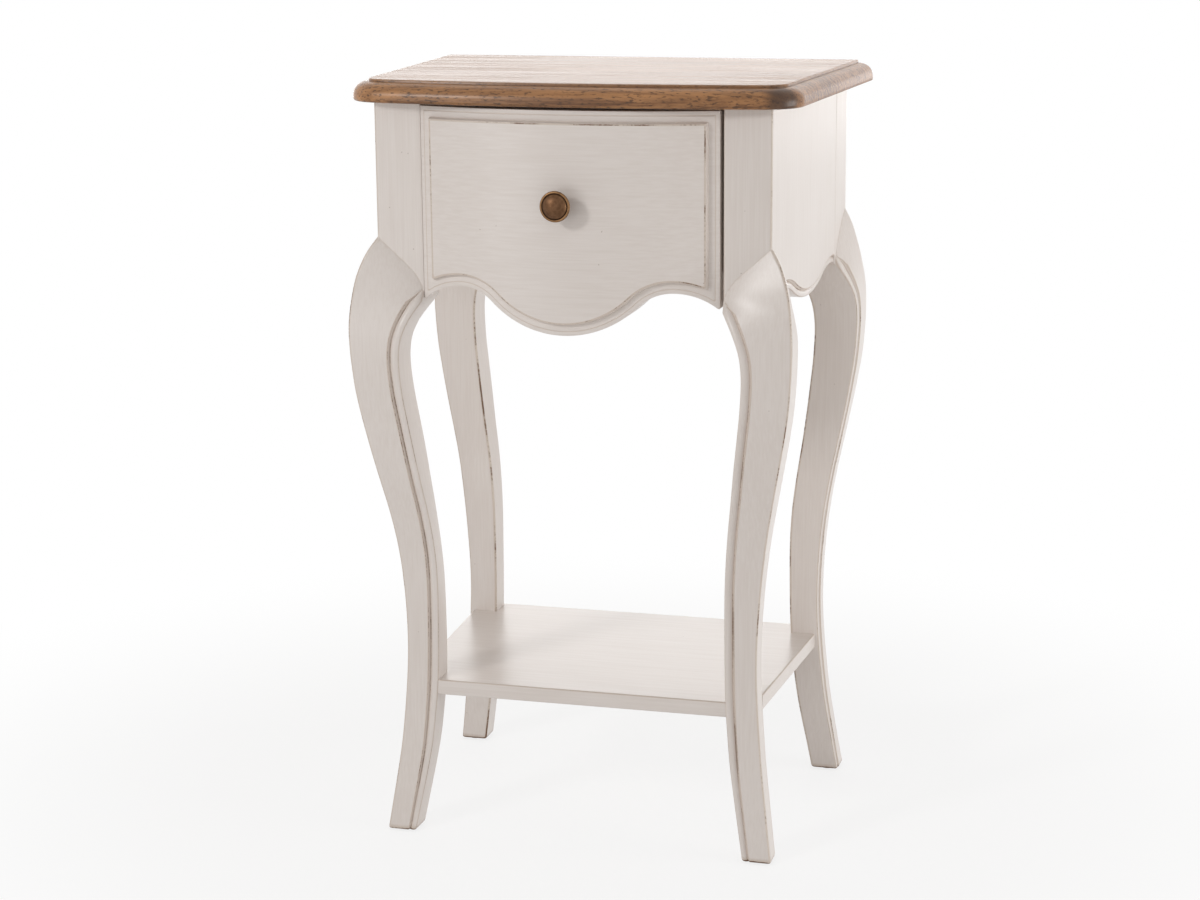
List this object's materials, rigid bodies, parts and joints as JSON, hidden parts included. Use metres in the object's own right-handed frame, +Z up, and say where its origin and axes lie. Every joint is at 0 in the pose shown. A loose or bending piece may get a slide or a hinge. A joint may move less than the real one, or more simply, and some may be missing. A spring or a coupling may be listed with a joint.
{
  "type": "nightstand",
  "caption": "Tall narrow bedside table on cabriole legs, with a bowed and scalloped drawer under a moulded wooden top, and a low shelf between the legs.",
  "frame": {"origin": "on the floor, under the centre of the bounding box", "axes": "+Z up; -Y towards the front, where the drawer opens; +X to the right of someone facing the front"},
  "size_m": [0.4654, 0.3612, 0.75],
  "materials": {
    "paint": "satin off-white paint over wood, rubbed through at the edges",
    "top_wood": "satin brown stain",
    "bare_wood": "planed, unfinished",
    "knob_brass": "aged, dark",
    "screw_steel": "plain",
    "glide_plastic": "matt brown"
  },
  "bodies": {
    "case": {"leg_front_left": "paint", "leg_front_right": "paint", "leg_rear_left": "paint", "leg_rear_right": "paint", "side_apron_left": "paint", "side_apron_right": "paint", "back_panel": "paint", "front_top_rail": "bare_wood", "drawer_rail": "bare_wood", "drawer_runner_left": "bare_wood", "drawer_runner_right": "bare_wood", "kicker_left": "bare_wood", "kicker_right": "bare_wood", "drawer_stops": "bare_wood", "frame_dowels": "bare_wood", "shelf_dowels": "bare_wood", "top_board": "top_wood", "top_screws": "screw_steel", "shelf": "paint", "foot_glides": "glide_plastic"},
    "drawer": {"drawer_front": "paint", "drawer_side_left": "bare_wood", "drawer_side_right": "bare_wood", "drawer_back": "bare_wood", "drawer_bottom": "bare_wood", "drawer_dowels": "bare_wood", "knob": "knob_brass", "knob_screw": "screw_steel"}
  },
  "joints": [
    {"name": "drawer_slide", "type": "slide", "parent": "case", "child": "drawer", "axis": [0, -1, 0], "range_m": [0, 0.2]}
  ]
}
